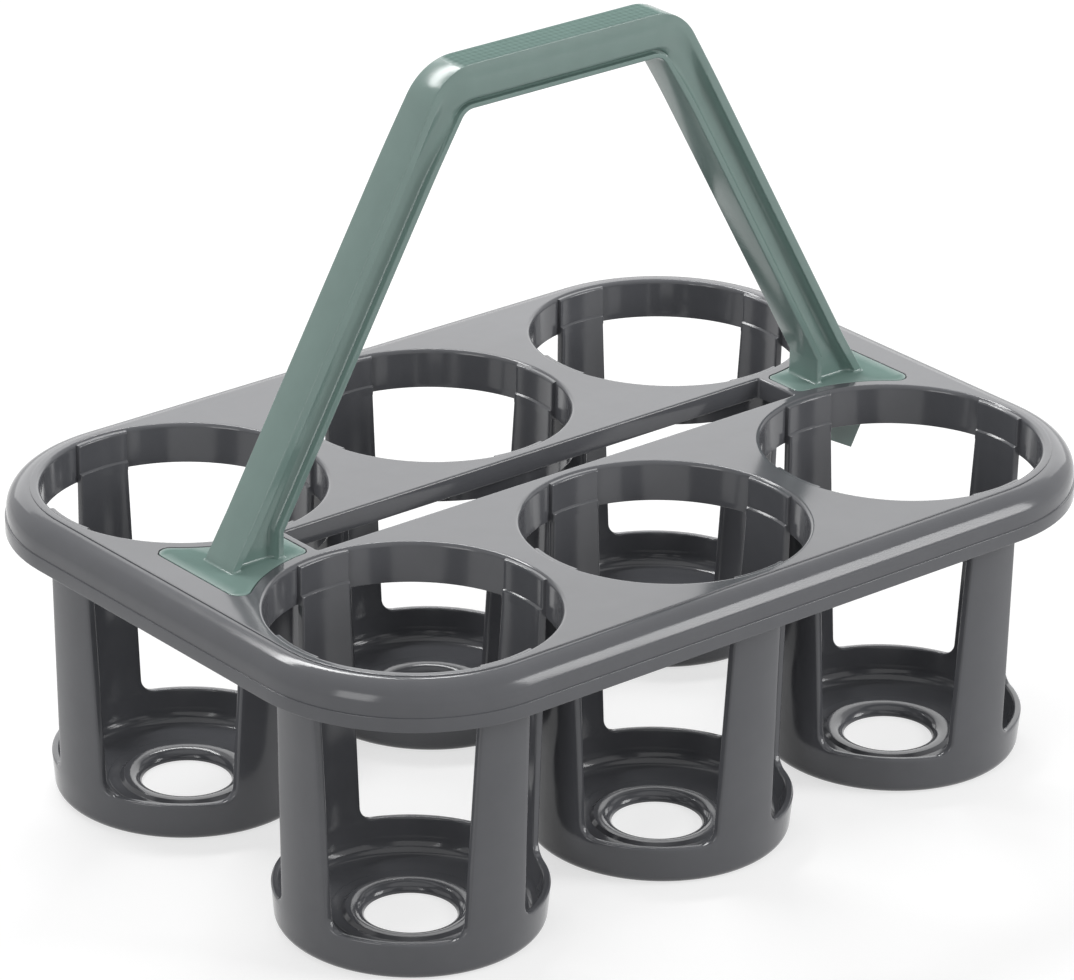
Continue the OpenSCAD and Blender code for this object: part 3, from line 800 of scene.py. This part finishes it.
def hook_outline(deck, handle):
    """Outlines of a hook's cheek and of the wall between the cheeks, in the XZ plane."""
    x1, x0 = leg_places(deck, handle)
    base, top, wall = -handle.foot_t / 2, -deck.collar_h - handle.fit_gap, handle.hook_wall
    tip_x, tip_z = x1 + handle.barb_out - handle.barb_in, top - handle.barb_h
    barb = [[x1, base], [x1, top], [x1 + handle.barb_out, top], [tip_x, tip_z]]
    rise = wall * handle.hook_rise / (tip_x - x0)
    cheek = [[x0, base], *barb, [x0, tip_z + handle.hook_rise]]
    back = [[x1 - wall, base], *barb, [tip_x - wall, tip_z + rise], [x1 - wall, top]]
    return np.array(cheek), np.array(back)


def add_plate(shell, deck, handle, side):
    """Adds a foot plate with a finely rounded upper edge, mirrored to a side."""
    edge, mirror = handle.plate_edge, np.array([side, 1, 1])
    flat, full = (foot_outline(deck, handle, grow) for grow in (-edge, 0))
    rows = [(flat, 0), ((flat + 2 * full) / 3, -edge / 3), (full, -edge), (full, -handle.foot_t)]
    shell.grid(np.stack([lifted(outline, z) for outline, z in rows]) * mirror, round_columns=True)
    shell.sheet(flat * mirror[:2], [], 0)
    shell.sheet(full * mirror[:2], [], -handle.foot_t)


def add_hook(shell, deck, handle, side):
    """Adds a hook's two cheeks and the wall between them, each an outline carried along Y, with two caps."""
    cheek, wall = hook_outline(deck, handle)
    half, inner = handle.width / 2, handle.width / 2 - handle.hook_wall
    for outline, y0, y1 in ((cheek, inner, half), (cheek, -half, -inner), (wall, -inner, inner)):
        ends = [np.insert(outline, 1, y, axis=1) * [side, 1, 1] for y in (y0, y1)]
        shell.grid(np.stack(ends), round_columns=True)
        for end in ends:
            shell.cap(end)


def node(tree, kind, settings=None, links=None):
    """Adds a node, sets its attributes and its sockets, and links its inputs from other nodes' sockets."""
    new = tree.nodes.new(kind)
    for key, value in (settings or {}).items():
        if isinstance(key, int) or key in new.inputs:
            new.inputs[key].default_value = value
        else:
            setattr(new, key, value)
    for key, source in (links or {}).items():
        tree.links.new(source, new.inputs[key])
    return new


def empty_tree(owner):
    """The node tree of a material or a world, with nothing in it."""
    owner.use_nodes = True
    owner.node_tree.nodes.clear()
    return owner.node_tree


def cross_hatch(tree, place, low_z):
    """Ribs on surfaces that face up above low_z: sin k(x + y) sin k(x - y) = (cos 2ky - cos 2kx) / 2.

    With k = pi / RIB_PITCH they cross along X and Y. Returns their height, and 1 on every face that faces up.
    """
    axes = node(tree, "ShaderNodeSeparateXYZ", links={"Vector": place})
    normal = node(tree, "ShaderNodeNewGeometry").outputs["Normal"]
    facing = node(tree, "ShaderNodeSeparateXYZ", links={"Vector": normal})
    factors = [
        node(tree, "ShaderNodeMapRange", {"From Min": low, "From Max": full}, {"Value": source.outputs["Z"]})
        for source, low, full in ((facing, *FACING_UP), (axes, low_z, low_z + MM))
    ]
    upward, height = (factor.outputs["Result"] for factor in factors)
    waves = []
    for turn in ("ADD", "SUBTRACT"):
        line = node(tree, "ShaderNodeMath", {"operation": turn}, {0: axes.outputs["X"], 1: axes.outputs["Y"]})
        turns = {"operation": "MULTIPLY", 1: np.pi / RIB_PITCH}
        phase = node(tree, "ShaderNodeMath", turns, {0: line.outputs["Value"]})
        waves.append(node(tree, "ShaderNodeMath", {"operation": "SINE"}, {0: phase.outputs["Value"]}))
    for factor in (upward, *(wave.outputs["Value"] for wave in waves)):
        product = node(tree, "ShaderNodeMath", {"operation": "MULTIPLY"}, {0: height, 1: factor})
        height = product.outputs["Value"]
    return height, upward


def moulded_polypropylene(name, tint, roughness, specular, hatch_z=None):
    """Injection-moulded polypropylene: satin gloss from a polished tool, faintly uneven where it shrank.

    The mottling is 9 mm across and the ripple of the gloss 25 mm. The fine grain is 0.6 mm, coarser than on
    the real part, so that it shows. With hatch_z, faces that face up are matt, and ribbed above that height.
    """
    material = bpy.data.materials.new(name)
    tree = empty_tree(material)
    place = node(tree, "ShaderNodeTexCoord").outputs["Object"]
    mottle, ripple, grain = (
        node(
            tree,
            "ShaderNodeTexNoise",
            {"Scale": 1 / size, "Detail": detail, "Roughness": rough},
            {"Vector": place},
        ).outputs["Fac"]
        for size, detail, rough in (MOTTLE, RIPPLE, GRAIN)
    )
    dark, pale = ((*(min(1, share * c) for c in tint), 1) for share in MOTTLE_SHARES)
    shade = node(tree, "ShaderNodeMix", {"data_type": "RGBA", 6: dark, 7: pale}, {0: mottle})
    low, high = roughness - RIPPLE_GLOSS, roughness + RIPPLE_GLOSS
    gloss = node(
        tree,
        "ShaderNodeMapRange",
        {"From Min": 0.3, "From Max": 0.7, "To Min": low, "To Max": high},
        {"Value": ripple},
    )
    fine = node(tree, "ShaderNodeBump", {"Strength": 0.05, "Distance": GRAIN_HEIGHT}, {"Height": grain})
    wavy = node(
        tree,
        "ShaderNodeBump",
        {"Strength": 0.5, "Distance": RIPPLE_HEIGHT},
        {"Height": ripple, "Normal": fine.outputs["Normal"]},
    )
    looks = {
        "Base Color": shade.outputs[2],
        "Roughness": gloss.outputs["Result"],
        "Normal": wavy.outputs["Normal"],
    }
    if hatch_z is not None:
        height, upward = cross_hatch(tree, place, hatch_z)
        ribbed = node(
            tree,
            "ShaderNodeBump",
            {"Strength": 1.0, "Distance": RIB_HEIGHT},
            {"Height": height, "Normal": looks["Normal"]},
        )
        matt = node(
            tree,
            "ShaderNodeMath",
            {"operation": "MULTIPLY_ADD", 1: MATT_ROUGHNESS},
            {0: upward, 2: looks["Roughness"]},
        )
        dull = node(tree, "ShaderNodeMapRange", {"To Min": specular, "To Max": 0.0}, {"Value": upward})
        looks["Normal"] = ribbed.outputs["Normal"]
        looks["Roughness"] = matt.outputs["Value"]
        looks["Specular IOR Level"] = dull.outputs["Result"]
    plain = {"IOR": 1.49, "Specular IOR Level": specular}
    surface = node(tree, "ShaderNodeBsdfPrincipled", plain, looks)
    node(tree, "ShaderNodeOutputMaterial", links={"Surface": surface.outputs["BSDF"]})
    return material


def settle(obj, slot, *replaced):
    """A finished piece rides on the body and stands for its nodes, which it hides. The slot is not used."""
    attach(obj, BODY)
    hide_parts(*replaced)


class CARRIER_OT_deck(bpy.types.Operator):
    """Build the deck with its six collars, slot, skirt and plate recesses"""

    bl_idname = "carrier.deck"
    bl_label = "Build Deck"

    def execute(self, context):
        scene = context.scene
        finish = scene.carrier_finish
        material = moulded_polypropylene(
            "basket_polypropylene", finish.basket, finish.basket_roughness, finish.basket_specular
        )
        obj = deck_shell(scene.carrier_deck, scene.carrier_handle).piece("basket_deck", material)
        settle(obj, "basket", "deck")
        return {"FINISHED"}


class CARRIER_OT_cups(bpy.types.Operator):
    """Build the six open cups with their posts"""

    bl_idname = "carrier.cups"
    bl_label = "Build Cups"

    def execute(self, context):
        scene = context.scene
        material = bpy.data.materials["basket_polypropylene"]
        pitch_x, row_y, _ = deck_places(scene.carrier_deck)
        cup = post_shell(scene.carrier_deck, scene.carrier_cup)
        for row, iy in ROWS.items():
            for column, ix in COLUMNS.items():
                obj = cup.placed([ix * pitch_x, iy * row_y, 0]).piece(f"open_cup_{row}_{column}", material)
                settle(obj, "basket", f"cup_{row}_{column}")
        return {"FINISHED"}


class CARRIER_OT_handle(bpy.types.Operator):
    """Build the bow handle with its foot plates and snap hooks"""

    bl_idname = "carrier.handle"
    bl_label = "Build Handle"

    def execute(self, context):
        scene = context.scene
        deck, handle, finish = scene.carrier_deck, scene.carrier_handle, scene.carrier_finish
        hatch_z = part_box("deck")[1].z + handle.height - handle.grip_d / 2
        material = moulded_polypropylene(
            "handle_polypropylene", finish.handle, finish.handle_roughness, finish.handle_specular, hatch_z
        )
        shell, bow = Shell(), bow_grid(deck, handle)
        shell.grid(bow, round_columns=True)
        shell.cap(bow[0])
        shell.cap(bow[-1])
        for side in (1, -1):
            add_plate(shell, deck, handle, side)
            add_hook(shell, deck, handle, side)
        obj = shell.placed([0, 0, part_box("deck")[1].z]).piece("bow_handle", material)
        settle(obj, "handle", "handle")
        return {"FINISHED"}


class CARRIER_OT_stage(bpy.types.Operator):
    """Set up the camera, the pale floor and the studio light"""

    bl_idname = "carrier.stage"
    bl_label = "Build Stage"

    def execute(self, context):
        scene = context.scene
        stage = scene.carrier_stage
        place_camera(scene, stage, Vector((0, 0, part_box("deck")[1].z)))
        floor = Shell()
        corners = FLOOR_HALF * np.array([[-1, -1, 0], [1, -1, 0], [1, 1, 0], [-1, 1, 0]])
        floor.cap(corners - [0, 0, FLOOR_GAP])
        floor.piece("studio_floor", studio_white("floor_paper", stage.floor))
        for name, (place, size, power) in LAMPS.items():
            lamp(name, Vector(place), size, power)
        studio_world(scene)
        scene.view_settings.view_transform = "Standard"
        return {"FINISHED"}


def place_camera(scene, stage, target):
    """The photograph's camera: back from the target by azimuth and elevation, aside, and slightly rolled."""
    az, el, roll = stage.azimuth, stage.elevation, stage.roll
    back = Vector((sin(az) * cos(el), -cos(az) * cos(el), sin(el)))
    level = Vector((0, 0, 1)).cross(back).normalized()
    upright = back.cross(level)
    right = level * cos(roll) + upright * sin(roll)
    up = back.cross(right)
    place = target + back * stage.distance + right * stage.offset_x + up * stage.offset_y
    data = bpy.data.cameras.new("photo_camera")
    data.lens = stage.lens
    data.sensor_width = FILM_WIDTH
    data.sensor_fit = "HORIZONTAL"
    data.clip_end = SIGHT
    camera = bpy.data.objects.new("photo_camera", data)
    turn = Matrix((right, up, back)).transposed().to_4x4()
    camera.matrix_world = Matrix.Translation(place) @ turn
    scene.collection.objects.link(camera)
    scene.camera = camera


def lamp(name, place, size, power):
    """A rectangular softbox that faces the carrier."""
    data = bpy.data.lights.new(name, "AREA")
    data.shape = "RECTANGLE"
    data.size, data.size_y = size
    data.energy = power
    obj = bpy.data.objects.new(name, data)
    obj.location = place
    obj.rotation_euler = (LAMP_AIM - place).to_track_quat("-Z", "Y").to_euler()
    bpy.context.scene.collection.objects.link(obj)


def seen_by_camera(tree, lighting, seen):
    """A strength that is seen for camera, transmission and glossy rays, and lighting for all others."""
    rays = node(tree, "ShaderNodeLightPath").outputs
    direct = rays["Is Camera Ray"]
    for ray in ("Is Transmission Ray", "Is Glossy Ray"):
        either = node(tree, "ShaderNodeMath", {"operation": "MAXIMUM"}, {0: direct, 1: rays[ray]})
        direct = either.outputs["Value"]
    strength = node(tree, "ShaderNodeMapRange", {"To Min": lighting, "To Max": seen}, {"Value": direct})
    return strength.outputs["Result"]


def studio_white(name, tint):
    """Matt white paper, which the camera and gloss see as plain white with the carrier's soft shadow.

    From below it is clear, so that the carrier's underside can be seen.
    """
    material = bpy.data.materials.new(name)
    tree = empty_tree(material)
    paper = {
        "Base Color": (*tint, 1),
        "Roughness": 0.9,
        "Specular IOR Level": 0.1,
        "Emission Color": (1, 1, 1, 1),
    }
    glow = seen_by_camera(tree, 0, FLOOR_GLOW)
    surface = node(tree, "ShaderNodeBsdfPrincipled", paper, {"Emission Strength": glow}).outputs["BSDF"]
    below = node(tree, "ShaderNodeNewGeometry").outputs["Backfacing"]
    clear = node(tree, "ShaderNodeBsdfTransparent").outputs["BSDF"]
    sheet = node(tree, "ShaderNodeMixShader", links={0: below, 1: surface, 2: clear})
    node(tree, "ShaderNodeOutputMaterial", links={"Surface": sheet.outputs["Shader"]})
    return material


def studio_world(scene):
    """A white room that lights the carrier evenly and shows as white to the camera and in gloss."""
    world = bpy.data.worlds.new("studio_world")
    tree = empty_tree(world)
    strength = seen_by_camera(tree, ROOM_LIGHT, 1.0)
    light = node(tree, "ShaderNodeBackground", {"Color": (1, 1, 1, 1)}, {"Strength": strength})
    node(tree, "ShaderNodeOutputWorld", links={"Surface": light.outputs["Background"]})
    scene.world = world


class CARRIER_PT_panel(bpy.types.Panel):
    """The carrier's sizes, finishes and build steps"""

    bl_label = "Bottle Carrier"
    bl_idname = "CARRIER_PT_panel"
    bl_space_type = "VIEW_3D"
    bl_region_type = "UI"
    bl_category = "Carrier"

    def draw(self, context):
        for group in SETTINGS:
            box = self.layout.box()
            settings = getattr(context.scene, group)
            for name in settings.bl_rna.properties.keys():
                if name not in ("rna_type", "name"):
                    box.prop(settings, name)
        for operator in OPERATORS:
            self.layout.operator(operator.bl_idname)


SETTINGS = {
    "carrier_deck": DeckSizes,
    "carrier_cup": CupSizes,
    "carrier_handle": HandleSizes,
    "carrier_finish": FinishSettings,
    "carrier_stage": StageSettings,
}
OPERATORS = (CARRIER_OT_deck, CARRIER_OT_cups, CARRIER_OT_handle, CARRIER_OT_stage)
CLASSES = (*SETTINGS.values(), *OPERATORS, CARRIER_PT_panel)


def register():
    """Registers the classes and gives the scene its settings."""
    for cls in CLASSES:
        bpy.utils.register_class(cls)
    for name, cls in SETTINGS.items():
        setattr(bpy.types.Scene, name, PointerProperty(type=cls))


def unregister():
    """Takes the settings and classes away again."""
    for name in SETTINGS:
        delattr(bpy.types.Scene, name)
    for cls in reversed(CLASSES):
        bpy.utils.unregister_class(cls)


def main():
    register()
    bpy.ops.carrier.deck()
    bpy.ops.carrier.cups()
    bpy.ops.carrier.handle()
    bpy.ops.carrier.stage()


if __name__ == "__main__":
    main()
